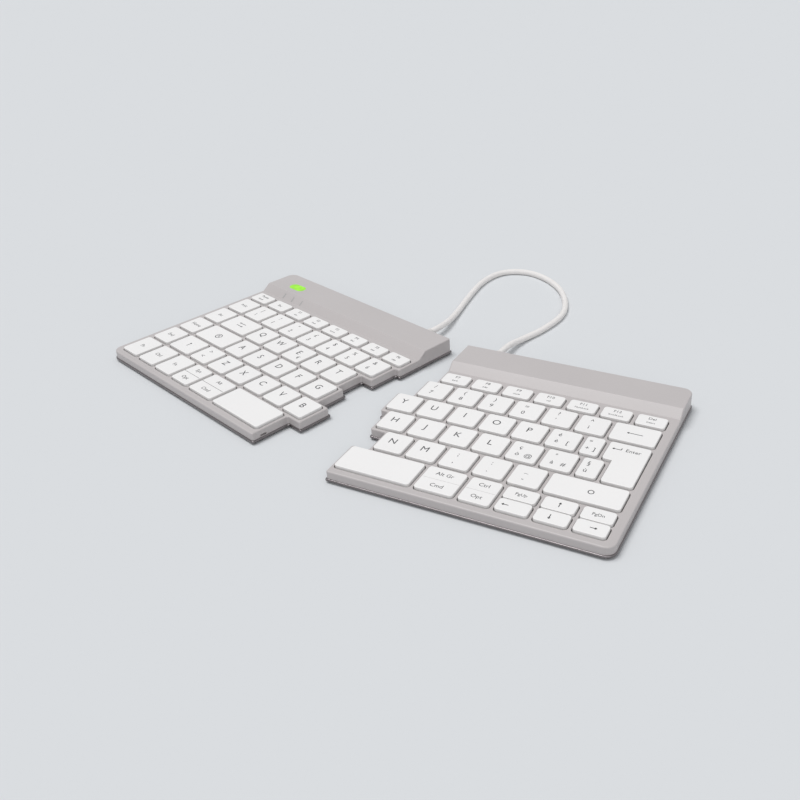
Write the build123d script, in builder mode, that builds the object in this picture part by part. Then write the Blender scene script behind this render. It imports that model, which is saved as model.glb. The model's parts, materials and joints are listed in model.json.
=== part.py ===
"""Ergonomic split keyboard: two flat halves on steel base plates, joined by one short cable.

Each half is drawn in its own local frame, where x runs along its front edge, y runs to the
rear and the bottom row's front edge is y = 0. Both local frames use one key grid, so the two
stepped inner sides match. The halves are then set on the desk, turned away from each other.
Lengths are millimetres. +X is to the right, +Y to the rear, +Z up from the desk.
"""
from build123d import *
import math
import os

os.makedirs("parts", exist_ok=True)

# Key grid
key_pitch = 19.0
key_gap = 2.7
row_gap = 2.6
function_pitch = 19.5
bottom_row_depth = 19.1
function_row_depth = 10.2
half_height_gap = 0.7

# Key caps
cap_rise = 1.5
cap_height = 3.8
cap_wall = 1.1
cap_roof = 1.2
cap_corner = 1.8
cap_edge = 0.35
cap_clearance = 0.65
key_travel = 1.3

# Case and base plate
foot_height = 1.0
foot_radius = 5.0
foot_inset = 9.0
plate_thickness = 1.5
plate_lip = 0.7
shell_height = 4.6
shell_wall = 1.4
deck_thickness = 1.2
ridge_rise = 4.1
ridge_wall = 1.4
slope_gap = 4.5
slope_depth = 5.4
ridge_depth = 22.2
outer_margin = 5.6
front_margin = 4.6
inner_margin = 2.1
outer_corner = 5.5
step_corner = 1.2
top_edge = 0.8
cut_overrun = 5.0

# How the halves stand on the desk
splay_angle = 17.7
rear_gap = 14.3
rear_stagger = 1.2

# Sheets and boards inside
support_thickness = 0.5
membrane_thickness = 0.25
membrane_inset = 0.2
tail_width = 12.0
tail_reach = 9.0
tail_from_outer = 22.0
board_thickness = 1.0
board_rise = 1.2
board_inset = 1.0
board_post_radius = 2.0
board_post_inset = 12.0
board_chip_front = 5.5
chip_size = 7.0
chip_height = 1.2
chip_reaches = (14.0, 30.0, 58.0)

# Spring domes and scissor frames under the keys
dome_radius = 2.6
small_dome_radius = 1.7
dome_tip_radius = 0.9
dome_skin = 0.45
dome_slack = 0.1
scissor_width = 13.0
scissor_length = 11.0
scissor_bar = 0.7
scissor_thickness = 0.7
scissor_play = 0.15
scissor_clearance = 0.4

# Screws
boss_radius = 1.7
boss_inset = 2.7
boss_reach = 12.0
board_boss_clearance = 0.4
screw_radius = 0.75
pilot_radius = 0.8
screw_hole_radius = 1.1
screw_length = 3.0
pilot_depth = 2.6
head_radius = 1.7
head_seat_radius = 1.9
head_height = 0.9
plate_edge = 0.6
foot_edge = 0.3
driver_slot_width = 0.5
driver_slot_depth = 0.4

# Left half only: cell, charging socket, switch, lights, side slot
cell_length = 62.0
cell_depth = 16.0
cell_height = 4.2
cell_from_rear = 4.2
cell_from_inner = 14.0
cell_corner = 1.5
socket_width = 9.0
socket_height = 3.2
socket_depth = 7.3
socket_skin = 0.3
socket_play = 0.15
socket_tongue_width = 6.0
socket_tongue_height = 0.7
socket_tongue_reach = 5.0
socket_back = 1.0
socket_corner = 1.5
socket_from_outer = 46.0
switch_from_outer = 66.0
switch_travel = 2.0
switch_width = 4.0
switch_height = 1.8
switch_proud = 0.7
switch_play = 0.3
switch_foot_width = 7.0
switch_foot_height = 3.0
switch_foot_depth = 1.2
switch_rise = 2.0
switch_body_width = 9.0
switch_body_depth = 2.5
switch_body_height = 3.4
light_from_outer = 23.2
light_from_rear = 14.0
light_length = 14.0
light_width = 7.0
lens_play = 0.05
lens_flange = 0.8
lens_flange_height = 0.6
status_from_outer = 22.5
status_pitch = 9.4
status_count = 3
status_width = 1.1
status_length = 3.0
status_height = 1.0
status_setback = 0.6
side_slot_length = 4.0
side_slot_height = 1.1
side_slot_front = 0.6
side_slot_rise = 1.0
side_slot_depth = 2.0

# Cable and the sleeves that it leaves through
cable_diameter = 4.0
cable_exit_rise = 3.1
left_exit_from_end = 24.0
right_exit_from_end = 18.6
sleeve_neck_radius = 2.4
sleeve_play = 0.05
sleeve_collar_radius = 2.9
sleeve_collar_length = 1.0
sleeve_length = 6.0
sleeve_mouth_radius = 2.5
sleeve_inner_length = 2.0
cable_lead = 11.0
cable_fall = 0.3
cable_rear_points = [
    (-34.0, 42.0),
    (-44.5, 76.0),
    (-50.8, 103.0),
    (-47.5, 124.0),
    (-31.5, 133.5),
    (-13.0, 130.0),
    (4.5, 119.5),
    (18.5, 103.0),
    (28.0, 83.5),
    (27.6, 58.0),
    (22.6, 36.0),
]

# Widths and starts of the keys, as shares of the key pitch
side_column_share = -1.0
tab_share = 1.5
caps_share = 1.75
left_shift_share = 1.25
left_alt_share = 1.3
left_space_share = 2.4
right_start_shares = {"space": 6.72, "shift": 7.25, "home": 6.75, "top": 6.5, "number": 7.0}
right_space_share = 2.41
alt_gr_share = 1.26
right_control_share = 1.01
arrow_share = 1.03
plus_share = 0.66
hash_share = 0.7
right_limit_share = 14.45
bend_share = 0.45

# Heights above the desk
plate_bottom = foot_height
plate_top = plate_bottom + plate_thickness
deck_top = plate_top + shell_height
deck_under = deck_top - deck_thickness
ridge_top = deck_top + ridge_rise
ridge_under = ridge_top - ridge_wall
cap_top = deck_top + cap_rise
cap_bottom = cap_top - cap_height
cap_ceiling = cap_top - cap_roof
support_top = plate_top + support_thickness
membrane_top = support_top + membrane_thickness
board_bottom = plate_top + board_rise
cable_exit_height = plate_top + cable_exit_rise

# Front edge and depth of each row of caps
cap_depth = key_pitch - row_gap
shift_front = bottom_row_depth + row_gap
half_height_depth = (bottom_row_depth - half_height_gap) / 2
row_places = {
    "space": (0, bottom_row_depth),
    "near": (0, half_height_depth),
    "far": (half_height_depth + half_height_gap, half_height_depth),
    "shift": (shift_front, cap_depth),
    "home": (shift_front + key_pitch, cap_depth),
    "top": (shift_front + 2 * key_pitch, cap_depth),
    "number": (shift_front + 3 * key_pitch, cap_depth),
    "function": (shift_front + 4 * key_pitch, function_row_depth),
}
stepped_rows = ["space", "shift", "home", "top", "number", "function"]
slope_front = sum(row_places["function"]) + slope_gap
slope_back = slope_front + slope_depth
rear_edge = slope_back + ridge_depth
front_edge = -front_margin


def key(row, start_share, width_share=1.0):
    """One cap's footprint: left edge, front edge, width and depth."""
    front, depth = row_places[row]
    return (start_share * key_pitch, front, width_share * key_pitch - key_gap, depth)


def key_run(row, start_share, count):
    """A run of caps of one pitch each."""
    return [key(row, start_share + place) for place in range(count)]


def function_key(first_edge, place):
    """One of the low caps of the rear row, which has its own pitch."""
    front, depth = row_places["function"]
    return (first_edge + place * function_pitch, front, key_pitch - key_gap, depth)


side_edge = side_column_share * key_pitch
left_groups = {
    "left_side_column_keys": [key(row, side_column_share) for row in stepped_rows[:5]]
    + [function_key(side_edge, 0)],
    "left_escape_key": [function_key(side_edge, 1)],
    "left_function_keys": [function_key(side_edge, place) for place in range(2, 8)],
    "left_number_keys": key_run("number", 0, 7),
    "left_tab_key": [key("top", 0, tab_share)],
    "left_top_letter_keys": key_run("top", tab_share, 5),
    "left_caps_key": [key("home", 0, caps_share)],
    "left_home_letter_keys": key_run("home", caps_share, 5),
    "left_shift_key": [key("shift", 0, left_shift_share)],
    "left_low_letter_keys": key_run("shift", left_shift_share, 6),
    "left_control_key": [key("space", 0)],
    "left_layer_key": [key("space", 1)],
    "left_system_key": [key("space", 2)],
    "left_alt_key": [key("space", 3, left_alt_share)],
    "left_space_key": [key("space", 3 + left_alt_share, left_space_share)],
}

start = right_start_shares
alt_gr_start = start["space"] + right_space_share
control_start = alt_gr_start + alt_gr_share
arrow_start = control_start + right_control_share
plus_start = start["top"] + 6
hash_start = start["home"] + 6
enter_start = plus_start + plus_share
enter_foot_start = hash_start + hash_share
last_arrow_start = arrow_start + 2 * arrow_share
right_cap_edge = right_limit_share * key_pitch - key_gap
right_function_edge = right_cap_edge - (key_pitch - key_gap) - 6 * function_pitch
right_groups = {
    "right_function_keys": [function_key(right_function_edge, place) for place in range(6)],
    "right_delete_key": [function_key(right_function_edge, 6)],
    "right_number_keys": key_run("number", start["number"], 6),
    "right_backspace_key": [key("number", start["number"] + 6, right_limit_share - start["number"] - 6)],
    "right_top_letter_keys": key_run("top", start["top"], 6) + [key("top", plus_start, plus_share)],
    "right_home_letter_keys": key_run("home", start["home"], 6) + [key("home", hash_start, hash_share)],
    "right_low_letter_keys": key_run("shift", start["shift"], 5),
    "right_shift_key": [key("shift", start["shift"] + 5, right_limit_share - start["shift"] - 5)],
    "right_space_key": [key("space", start["space"], right_space_share)],
    "right_alt_key": [key("space", alt_gr_start, alt_gr_share)],
    "right_control_key": [key("space", control_start, right_control_share)],
    "right_page_up_key": [key("far", arrow_start, arrow_share)],
    "right_left_arrow_key": [key("near", arrow_start, arrow_share)],
    "right_up_arrow_key": [key("far", arrow_start + arrow_share, arrow_share)],
    "right_down_arrow_key": [key("near", arrow_start + arrow_share, arrow_share)],
    "right_page_down_key": [key("far", last_arrow_start, right_limit_share - last_arrow_start)],
    "right_right_arrow_key": [key("near", last_arrow_start, right_limit_share - last_arrow_start)],
}
enter_upper = key("top", enter_start, right_limit_share - enter_start)
enter_left, enter_front, enter_width, enter_depth = key(
    "home", enter_foot_start, right_limit_share - enter_foot_start
)
enter_lower = (enter_left, enter_front, enter_width, enter_depth + key_pitch)


class Half:
    """One half of the keyboard: its side, its caps, its stepped edge and its place."""

    def __init__(self, name, side, groups, outer, turn):
        self.name = name
        self.side = side
        self.groups = groups
        self.caps = [cap for caps in groups.values() for cap in caps]
        self.outer = outer
        self.turn = math.radians(turn)
        self.plane = Plane.XY

    def inward(self, distance):
        """Local x at a distance from the outer edge."""
        return self.outer - self.side * distance

    def cap_limit(self, row):
        """Local x where the row's caps end, on the inner side."""
        front, depth = row_places[row]
        in_row = [cap for cap in self.caps if front <= cap[1] < front + depth]
        if self.side < 0:
            return max(cap[0] + cap[2] for cap in in_row)
        return min(cap[0] for cap in in_row)

    def inner_edge(self, row, growth=0):
        """Local x of the case's inner side beside a row."""
        return self.cap_limit(row) - self.side * (inner_margin + growth)

    def ridge_end(self):
        return self.inner_edge("function")

    def from_end(self, distance):
        """Local x at a distance from the ridge's inner end."""
        return self.ridge_end() + self.side * distance

    def outline(self, growth=0):
        """Corners of the case seen from above, the outer front one first."""
        front_y = front_edge - growth
        rear_y = rear_edge + growth
        outer_x = self.outer + self.side * growth
        corners = [(outer_x, front_y), (self.inner_edge("space", growth), front_y)]
        for row, next_row in zip(stepped_rows, stepped_rows[1:]):
            edge = self.inner_edge(row, growth)
            next_edge = self.inner_edge(next_row, growth)
            front, depth = row_places[row]
            step = front + depth + inner_margin + growth
            if (next_edge - edge) * self.side < 0:
                step = row_places[next_row][0] - inner_margin - growth
            corners += [(edge, step), (next_edge, step)]
        return corners + [(self.inner_edge("function", growth), rear_y), (outer_x, rear_y)]

    def place(self, target):
        """Set the half on the desk with its rear inner corner on the target."""
        cosine = math.cos(self.turn)
        sine = math.sin(self.turn)
        corner = (self.ridge_end(), rear_edge)
        x = target[0] - cosine * corner[0] + sine * corner[1]
        y = target[1] - sine * corner[0] - cosine * corner[1]
        self.plane = Plane(origin=(x, y, 0), x_dir=(cosine, sine, 0), z_dir=(0, 0, 1))

    def side_plane(self, x):
        """Plane that looks along local x: its own x is local y, its own y is height."""
        origin = self.plane.from_local_coords((x, 0, 0))
        return Plane(origin=origin, x_dir=self.plane.y_dir, z_dir=self.plane.x_dir)

    def rear_plane(self, x, z):
        """Plane on the rear face: its normal points out to the rear, its y is height."""
        origin = self.plane.from_local_coords((x, rear_edge, z))
        return Plane(origin=origin, x_dir=-self.plane.x_dir, z_dir=self.plane.y_dir)

    def bosses(self):
        """Places of the screw bosses: at the outer margin, then under the ridge."""
        outer_x = self.inward(boss_inset)
        middle_y = (slope_back + rear_edge) / 2
        ridge_length = abs(self.ridge_end() - self.outer)
        outer_bosses = [(outer_x, y) for y in (boss_reach, rear_edge / 2 - boss_reach)]
        ridge_bosses = [
            (self.inward(3 * boss_reach), middle_y),
            (self.inward(ridge_length / 2), middle_y),
            (self.from_end(boss_reach / 2), middle_y),
        ]
        return outer_bosses, ridge_bosses

    def feet(self):
        """Places of the feet under the base plate."""
        outer_x = self.inward(foot_inset)
        space_x = self.inner_edge("space") + self.side * foot_inset
        end_x = self.from_end(foot_inset + boss_reach)
        return [
            (outer_x, front_edge + foot_inset),
            (space_x, front_edge + foot_inset),
            (outer_x, rear_edge - foot_inset),
            (end_x, rear_edge - foot_inset),
        ]


left_outer = side_edge - outer_margin
right_outer = right_cap_edge + outer_margin
left = Half("left", -1, left_groups, left_outer, -splay_angle / 2)
right = Half("right", 1, right_groups, right_outer, splay_angle / 2)
enter_caps = [enter_upper, enter_lower]
right.caps += enter_caps


def footprint(half, growth=0):
    """The case seen from above, with rounded corners, grown or drawn in by an amount."""
    with BuildSketch() as drawn:
        with BuildLine():
            Polyline(*half.outline(growth), close=True)
        make_face()
        by_x = drawn.vertices().group_by(Axis.X)
        outer_vertices = by_x[0] if half.side < 0 else by_x[-1]
        fillet(outer_vertices, outer_corner + growth)
        step_vertices = [v for v in drawn.vertices() if abs(v.X - half.outer) > 2 * outer_corner]
        fillet(step_vertices, step_corner)
    return drawn.sketch


def cap_sketch(footprints, growth=0):
    """Rounded footprints of some caps, grown or drawn in by an amount."""
    with BuildSketch() as drawn:
        for x, y, width, depth in footprints:
            with Locations((x + width / 2, y + depth / 2)):
                RectangleRounded(width + 2 * growth, depth + 2 * growth, cap_corner + max(growth, 0))
    return drawn.sketch


def centre_of(cap):
    x, y, width, depth = cap
    return (x + width / 2, y + depth / 2)


def write(part, name):
    """Label a finished piece and write it under its own name."""
    part.label = name
    export_step(part, "parts/" + name + ".step")


# Set both halves down, then move them so that the whole footprint is centred on the origin
left.place((-rear_gap / 2, rear_stagger / 2))
right.place((rear_gap / 2, -rear_stagger / 2))
footprints = [half.plane * footprint(half, plate_lip) for half in (left, right)]
bounds = Compound(footprints).bounding_box()
centre = bounds.center()
left.place((-rear_gap / 2 - centre.X, rear_stagger / 2 - centre.Y))
right.place((rear_gap / 2 - centre.X, -rear_stagger / 2 - centre.Y))
pivot = Vector(-centre.X, -centre.Y, 0)


def make_top_case(half):
    """Moulded shell: flat deck with a hole for every cap, and a raised ridge along the rear."""
    low_x = min(half.outer, half.inner_edge("shift"), half.inner_edge("space")) - key_pitch
    span = abs(half.outer - half.ridge_end()) + 4 * key_pitch
    with BuildPart() as case:
        with BuildSketch(half.plane.offset(plate_top)):
            add(footprint(half))
        extrude(amount=ridge_top - plate_top)
        with BuildSketch(half.side_plane(low_x)):
            add(sky())
        extrude(amount=span, mode=Mode.SUBTRACT)
        rim = [edge for edge in case.edges() if edge.bounding_box().min.Z > deck_under]
        rim = [edge for edge in rim if not is_slope_line(half, edge)]
        fillet(rim, top_edge)
        with BuildSketch(half.plane.offset(plate_top)):
            add(footprint(half, -shell_wall))
        extrude(amount=deck_under - plate_top, mode=Mode.SUBTRACT)
        add(ridge_space(half), mode=Mode.SUBTRACT)
        outer_bosses, ridge_bosses = half.bosses()
        with BuildSketch(half.plane.offset(plate_top)):
            with Locations(*outer_bosses):
                Circle(boss_radius)
        extrude(amount=deck_under - plate_top)
        with BuildSketch(half.plane.offset(plate_top)):
            with Locations(*ridge_bosses):
                Circle(boss_radius)
        extrude(amount=ridge_under - plate_top)
        with BuildSketch(half.plane.offset(plate_top)):
            with Locations(*outer_bosses, *ridge_bosses):
                Circle(pilot_radius)
        extrude(amount=pilot_depth, mode=Mode.SUBTRACT)
        with BuildSketch(half.plane.offset(deck_under)):
            add(cap_sketch(half.caps, cap_clearance))
        extrude(amount=deck_thickness + cap_rise, mode=Mode.SUBTRACT)
        with BuildSketch(half.rear_plane(half.exit_x, cable_exit_height)):
            Circle(sleeve_neck_radius + sleeve_play)
        extrude(amount=-2 * shell_wall, mode=Mode.SUBTRACT)
        if half is left:
            with BuildSketch(half.plane.offset(ridge_under)):
                with Locations(light_place(half)):
                    SlotOverall(light_length + 2 * lens_play, light_width + 2 * lens_play)
            extrude(amount=2 * ridge_wall, mode=Mode.SUBTRACT)
            with BuildSketch(half.plane.offset(deck_under)):
                with Locations(*status_places(half)):
                    Rectangle(status_width + 2 * lens_play, status_length + 2 * lens_play)
            extrude(amount=ridge_top - deck_under, mode=Mode.SUBTRACT)
            with BuildSketch(half.rear_plane(half.inward(socket_from_outer), socket_middle)):
                opening_width = socket_width + 2 * socket_play
                opening_height = socket_height + 2 * socket_play
                RectangleRounded(opening_width, opening_height, socket_corner + socket_play)
            extrude(amount=-2 * shell_wall, mode=Mode.SUBTRACT)
            slot_x = half.inward(switch_from_outer) + switch_travel / 2
            with BuildSketch(half.rear_plane(slot_x, switch_middle)):
                Rectangle(switch_width + switch_travel + 2 * switch_play, switch_height + 2 * switch_play)
            extrude(amount=-2 * shell_wall, mode=Mode.SUBTRACT)
            with BuildSketch(half.side_plane(half.inner_edge("space"))):
                with Locations((side_slot_front + side_slot_length / 2, plate_top + side_slot_rise)):
                    Rectangle(side_slot_length, side_slot_height)
            extrude(amount=-side_slot_depth, mode=Mode.SUBTRACT)
    return case.part


def ridge_space(half):
    """Hollow inside the ridge, with the corners of the shell's inner walls."""
    inside = sorted([half.inward(shell_wall), half.from_end(shell_wall)])
    with BuildPart() as space:
        with BuildSketch(half.side_plane(inside[0])):
            with BuildLine():
                Polyline(
                    ((slope_front + slope_back) / 2, deck_under),
                    (slope_back + ridge_wall, ridge_under),
                    (rear_edge - shell_wall, ridge_under),
                    (rear_edge - shell_wall, deck_under),
                    close=True,
                )
            make_face()
        extrude(amount=inside[1] - inside[0])
        with BuildSketch(half.plane.offset(deck_under)):
            add(footprint(half, -shell_wall))
        extrude(amount=ridge_under - deck_under, mode=Mode.INTERSECT)
    return space.part


def is_slope_line(half, edge):
    """Whether an edge is the inside line where the slope meets the deck."""
    middle = half.plane.to_local_coords(edge.center())
    return abs(middle.Y - slope_front) < top_edge and abs(middle.Z - deck_top) < top_edge


def sky():
    """Profile of the space above the deck and the slope: x is to the rear, y is height."""
    with BuildSketch() as drawn:
        with BuildLine():
            Polyline(
                (front_edge - cut_overrun, deck_top),
                (slope_front, deck_top),
                (slope_back, ridge_top),
                (slope_back, ridge_top + cut_overrun),
                (front_edge - cut_overrun, ridge_top + cut_overrun),
                close=True,
            )
        make_face()
    return drawn.sketch


def status_places(half):
    """Places of the small lights on the slope."""
    y = slope_front + status_length / 2 + status_setback
    return [(half.inward(status_from_outer + place * status_pitch), y) for place in range(status_count)]


def light_place(half):
    return (half.inward(light_from_outer), rear_edge - light_from_rear)


def make_base_plate(half):
    """Steel plate that closes the shell from below and carries the board posts."""
    outer_bosses, ridge_bosses = half.bosses()
    with BuildPart() as plate:
        with BuildSketch(half.plane.offset(plate_bottom)):
            add(footprint(half, plate_lip))
        extrude(amount=plate_thickness)
        layers = plate.edges().group_by(Axis.Z)
        fillet(layers[0] + layers[-1], plate_edge)
        with BuildSketch(half.plane.offset(plate_top)):
            with Locations(*board_posts(half)):
                Circle(board_post_radius)
        extrude(amount=board_rise)
        with BuildSketch(half.plane.offset(plate_bottom)):
            with Locations(*outer_bosses, *ridge_bosses):
                Circle(screw_hole_radius)
        extrude(amount=plate_thickness, mode=Mode.SUBTRACT)
        with BuildSketch(half.plane.offset(plate_bottom)):
            with Locations(*outer_bosses, *ridge_bosses):
                Circle(head_seat_radius)
        extrude(amount=head_height, mode=Mode.SUBTRACT)
    return plate.part


def make_sheet(half, bottom, thickness, inset, tail):
    """Flat sheet under the keys, clear of the shell and of the outer bosses."""
    outer_bosses, ridge_bosses = half.bosses()
    sheet_rear = slope_front - inset
    middle_x = (half.outer + half.inner_edge("space")) / 2
    with BuildPart() as sheet:
        with BuildSketch(half.plane.offset(bottom)):
            add(footprint(half, -shell_wall - inset))
            with Locations((middle_x, sheet_rear + rear_edge / 2)):
                Rectangle(2 * rear_edge, rear_edge, mode=Mode.SUBTRACT)
            with Locations(*outer_bosses):
                Circle(boss_radius + inset, mode=Mode.SUBTRACT)
            if tail > 0:
                with Locations((half.inward(tail_from_outer), sheet_rear)):
                    Rectangle(tail_width, 2 * tail)
        extrude(amount=thickness)
    return sheet.part


def frame_size(cap):
    """Width and length of the scissor frames that fit inside a cap."""
    spare = 2 * cap_wall + 2 * scissor_clearance
    return (min(scissor_width, cap[2] - spare), min(scissor_length, cap[3] - spare))


def make_domes(half):
    """One hollow rubber dome under the middle of each cap."""
    height = cap_ceiling - dome_slack - membrane_top
    with BuildPart() as domes:
        for cap in half.seats:
            radius = dome_radius
            if min(frame_size(cap)) < 3 * dome_radius:
                radius = small_dome_radius
            x, y = centre_of(cap)
            foot = half.plane.from_local_coords((x, y, membrane_top))
            dome = make_dome(radius, height)
            add(Pos(foot) * dome)
    return domes.part


def make_dome(radius, height):
    """Truncated cone, open below, with its foot on the origin."""
    upright = (Align.CENTER, Align.CENTER, Align.MIN)
    with BuildPart() as dome:
        Cone(radius, dome_tip_radius, height, align=upright)
        inner_tip = dome_tip_radius - dome_skin
        Cone(radius - dome_skin, inner_tip, height - dome_skin, align=upright, mode=Mode.SUBTRACT)
    return dome.part


def scissor_ring(width, length):
    """One flat rectangular frame of a scissor."""
    with BuildPart() as ring:
        with BuildSketch():
            RectangleRounded(width, length, scissor_bar)
            inner_width = width - 2 * scissor_bar
            inner_length = length - 2 * scissor_bar
            RectangleRounded(inner_width, inner_length, scissor_bar / 2, mode=Mode.SUBTRACT)
        extrude(amount=scissor_thickness / 2, both=True)
    return ring.part


def make_scissors(half):
    """Two crossed frames under each cap, one inside the other."""
    frames = []
    middle = (membrane_top + cap_ceiling) / 2
    rise = (cap_ceiling - membrane_top) / 2 - scissor_thickness
    for cap in half.seats:
        width, length = frame_size(cap)
        x, y = centre_of(cap)
        tilt = math.degrees(math.asin(2 * rise / length))
        place = half.plane.location * Pos(x, y, middle)
        inner_width = width - 2 * scissor_bar - 2 * scissor_play
        frames.append(place * Rot(X=tilt) * scissor_ring(width, length))
        frames.append(place * Rot(X=-tilt) * scissor_ring(inner_width, length))
    return Compound(frames)


def board_ends(half):
    """Local x of the board's outer and inner ends."""
    outer_end = half.inward(shell_wall + board_inset)
    if half is left:
        return outer_end, half.from_end(cell_from_inner + cell_length + board_inset)
    return outer_end, half.from_end(shell_wall + board_inset)


def board_posts(half):
    """Places of the two posts that carry the board."""
    outer_end, inner_end = board_ends(half)
    middle_y = (slope_back + rear_edge) / 2
    first = (outer_end - half.side * board_post_inset, middle_y)
    second = (inner_end + half.side * board_post_inset, middle_y)
    return [first, second]


def make_board(half):
    """Circuit board in the ridge, with holes round the bosses and parts on its upper face."""
    outer_bosses, ridge_bosses = half.bosses()
    outer_end, inner_end = board_ends(half)
    board_front = slope_back + ridge_wall
    board_rear = rear_edge - shell_wall - board_inset
    middle = ((outer_end + inner_end) / 2, (board_front + board_rear) / 2)
    with BuildPart() as board:
        with BuildSketch(half.plane.offset(board_bottom)):
            with Locations(middle):
                Rectangle(abs(outer_end - inner_end), board_rear - board_front)
            with Locations(*ridge_bosses):
                Circle(boss_radius + board_boss_clearance, mode=Mode.SUBTRACT)
        extrude(amount=board_thickness)
        chip_y = board_front + board_chip_front
        chips = [(half.inward(reach), chip_y) for reach in chip_reaches]
        with BuildSketch(half.plane.offset(board_top)):
            with Locations(*chips):
                Rectangle(chip_size, chip_size)
        extrude(amount=chip_height)
        if half is left:
            body_y = rear_edge - shell_wall - switch_foot_depth - 2 * switch_play - switch_body_depth / 2
            with BuildSketch(half.plane.offset(board_top)):
                with Locations((half.inward(switch_from_outer), body_y)):
                    Rectangle(switch_body_width, switch_body_depth)
            extrude(amount=switch_body_height)
    return board.part


def make_screws(half):
    """Slotted screws that hold the base plate to the bosses."""
    outer_bosses, ridge_bosses = half.bosses()
    with BuildPart() as screws:
        with BuildSketch(half.plane.offset(plate_bottom)):
            with Locations(*outer_bosses, *ridge_bosses):
                Circle(head_radius)
        extrude(amount=head_height)
        with BuildSketch(half.plane.offset(plate_bottom + head_height)):
            with Locations(*outer_bosses, *ridge_bosses):
                Circle(screw_radius)
        extrude(amount=screw_length)
        with BuildSketch(half.plane.offset(plate_bottom)):
            with Locations(*outer_bosses, *ridge_bosses):
                Rectangle(2 * head_radius, driver_slot_width)
        extrude(amount=driver_slot_depth, mode=Mode.SUBTRACT)
    return screws.part


def make_feet(half):
    """Round rubber feet under the base plate."""
    with BuildPart() as feet:
        with BuildSketch(half.plane):
            with Locations(*half.feet()):
                Circle(foot_radius)
        extrude(amount=foot_height)
        fillet(feet.edges().group_by(Axis.Z)[0], foot_edge)
    return feet.part


def make_sleeve(half):
    """Grommet in the rear wall that the cable leaves through."""
    mouth = half.rear_plane(half.exit_x, cable_exit_height)
    with BuildPart() as sleeve:
        with BuildSketch(mouth):
            Circle(sleeve_neck_radius)
        extrude(amount=-sleeve_inner_length)
        with BuildSketch(mouth):
            Circle(sleeve_collar_radius)
        extrude(amount=sleeve_collar_length)
        with BuildSketch(mouth.offset(sleeve_collar_length)):
            Circle(sleeve_neck_radius)
        with BuildSketch(mouth.offset(sleeve_length)):
            Circle(sleeve_mouth_radius)
        loft()
    return sleeve.part


def make_caps(half, footprints):
    """Flat hollow key caps, each with a softened top edge."""
    with BuildPart() as caps:
        with BuildSketch(half.plane.offset(cap_bottom)):
            add(cap_sketch(footprints))
        extrude(amount=cap_height)
        fillet(caps.edges().group_by(Axis.Z)[-1], cap_edge)
        with BuildSketch(half.plane.offset(cap_bottom)):
            add(cap_sketch(footprints, -cap_wall))
        extrude(amount=cap_height - cap_roof, mode=Mode.SUBTRACT)
    return caps.part


def make_cell(half):
    """Flat rechargeable cell on the base plate, under the ridge."""
    x = half.from_end(cell_from_inner + cell_length / 2)
    y = rear_edge - cell_from_rear - cell_depth / 2
    with BuildPart() as cell:
        with BuildSketch(half.plane.offset(plate_top)):
            with Locations((x, y)):
                RectangleRounded(cell_length, cell_depth, cell_corner)
        extrude(amount=cell_height)
    return cell.part


def make_light(half):
    """Pill-shaped lens flush with the ridge, held by a flange below."""
    with BuildPart() as lens:
        with BuildSketch(half.plane.offset(ridge_under)):
            with Locations(light_place(half)):
                SlotOverall(light_length, light_width)
        extrude(amount=ridge_wall)
        with BuildSketch(half.plane.offset(ridge_under)):
            with Locations(light_place(half)):
                SlotOverall(light_length + 2 * lens_flange, light_width + 2 * lens_flange)
        extrude(amount=-lens_flange_height)
    return lens.part


def make_status_lights(half):
    """Clear light guide: a bar under the deck with one window per light in the slope."""
    places = status_places(half)
    middle_x = (places[0][0] + places[-1][0]) / 2
    length = abs(places[-1][0] - places[0][0]) + 2 * status_width
    low_x = middle_x - length
    with BuildPart() as guide:
        with BuildSketch(half.plane.offset(deck_under - status_height)):
            with Locations((middle_x, places[0][1])):
                Rectangle(length, status_length + status_width)
        extrude(amount=status_height)
        with BuildSketch(half.plane.offset(deck_under)):
            with Locations(*places):
                Rectangle(status_width, status_length)
        extrude(amount=ridge_top - deck_under)
        with BuildSketch(half.side_plane(low_x)):
            add(sky())
        extrude(amount=2 * length, mode=Mode.SUBTRACT)
    return guide.part


def make_socket(half):
    """Small reversible charging socket, open to the rear, with a tongue inside."""
    mouth = half.rear_plane(half.inward(socket_from_outer), socket_middle)
    hollow = socket_depth - socket_back
    with BuildPart() as socket:
        with BuildSketch(mouth):
            RectangleRounded(socket_width, socket_height, socket_corner)
        extrude(amount=-socket_depth)
        with BuildSketch(mouth):
            inner_width = socket_width - 2 * socket_skin
            inner_height = socket_height - 2 * socket_skin
            RectangleRounded(inner_width, inner_height, socket_corner - socket_skin)
        extrude(amount=-hollow, mode=Mode.SUBTRACT)
        with BuildSketch(mouth.offset(-hollow)):
            Rectangle(socket_tongue_width, socket_tongue_height)
        extrude(amount=socket_tongue_reach)
    return socket.part


def make_switch(half):
    """Slider of the power switch: a tab in the rear wall on a wider foot behind it."""
    face = half.rear_plane(half.inward(switch_from_outer), switch_middle)
    with BuildPart() as switch:
        with BuildSketch(face.offset(switch_proud)):
            Rectangle(switch_width, switch_height)
        extrude(amount=-switch_proud - shell_wall - switch_play)
        with BuildSketch(face.offset(-shell_wall - switch_play)):
            Rectangle(switch_foot_width, switch_foot_height)
        extrude(amount=-switch_foot_depth)
    return switch.part


def cable_points():
    """Corners of the cable's path, from the left sleeve round to the right one."""
    mouths = []
    for half in (left, right):
        face = half.rear_plane(half.exit_x, cable_exit_height)
        mouths.append(face.from_local_coords((0, 0, sleeve_length)))
        mouths.append(face.from_local_coords((0, 0, sleeve_length + cable_lead)))
    rest = cable_diameter / 2
    heights = [rest + cable_fall] + [rest] * (len(cable_rear_points) - 2) + [rest + cable_fall]
    on_desk = [
        pivot + Vector(x, y, height) for (x, y), height in zip(cable_rear_points, heights)
    ]
    return [mouths[0], mouths[1], *on_desk, mouths[3], mouths[2]]


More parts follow.
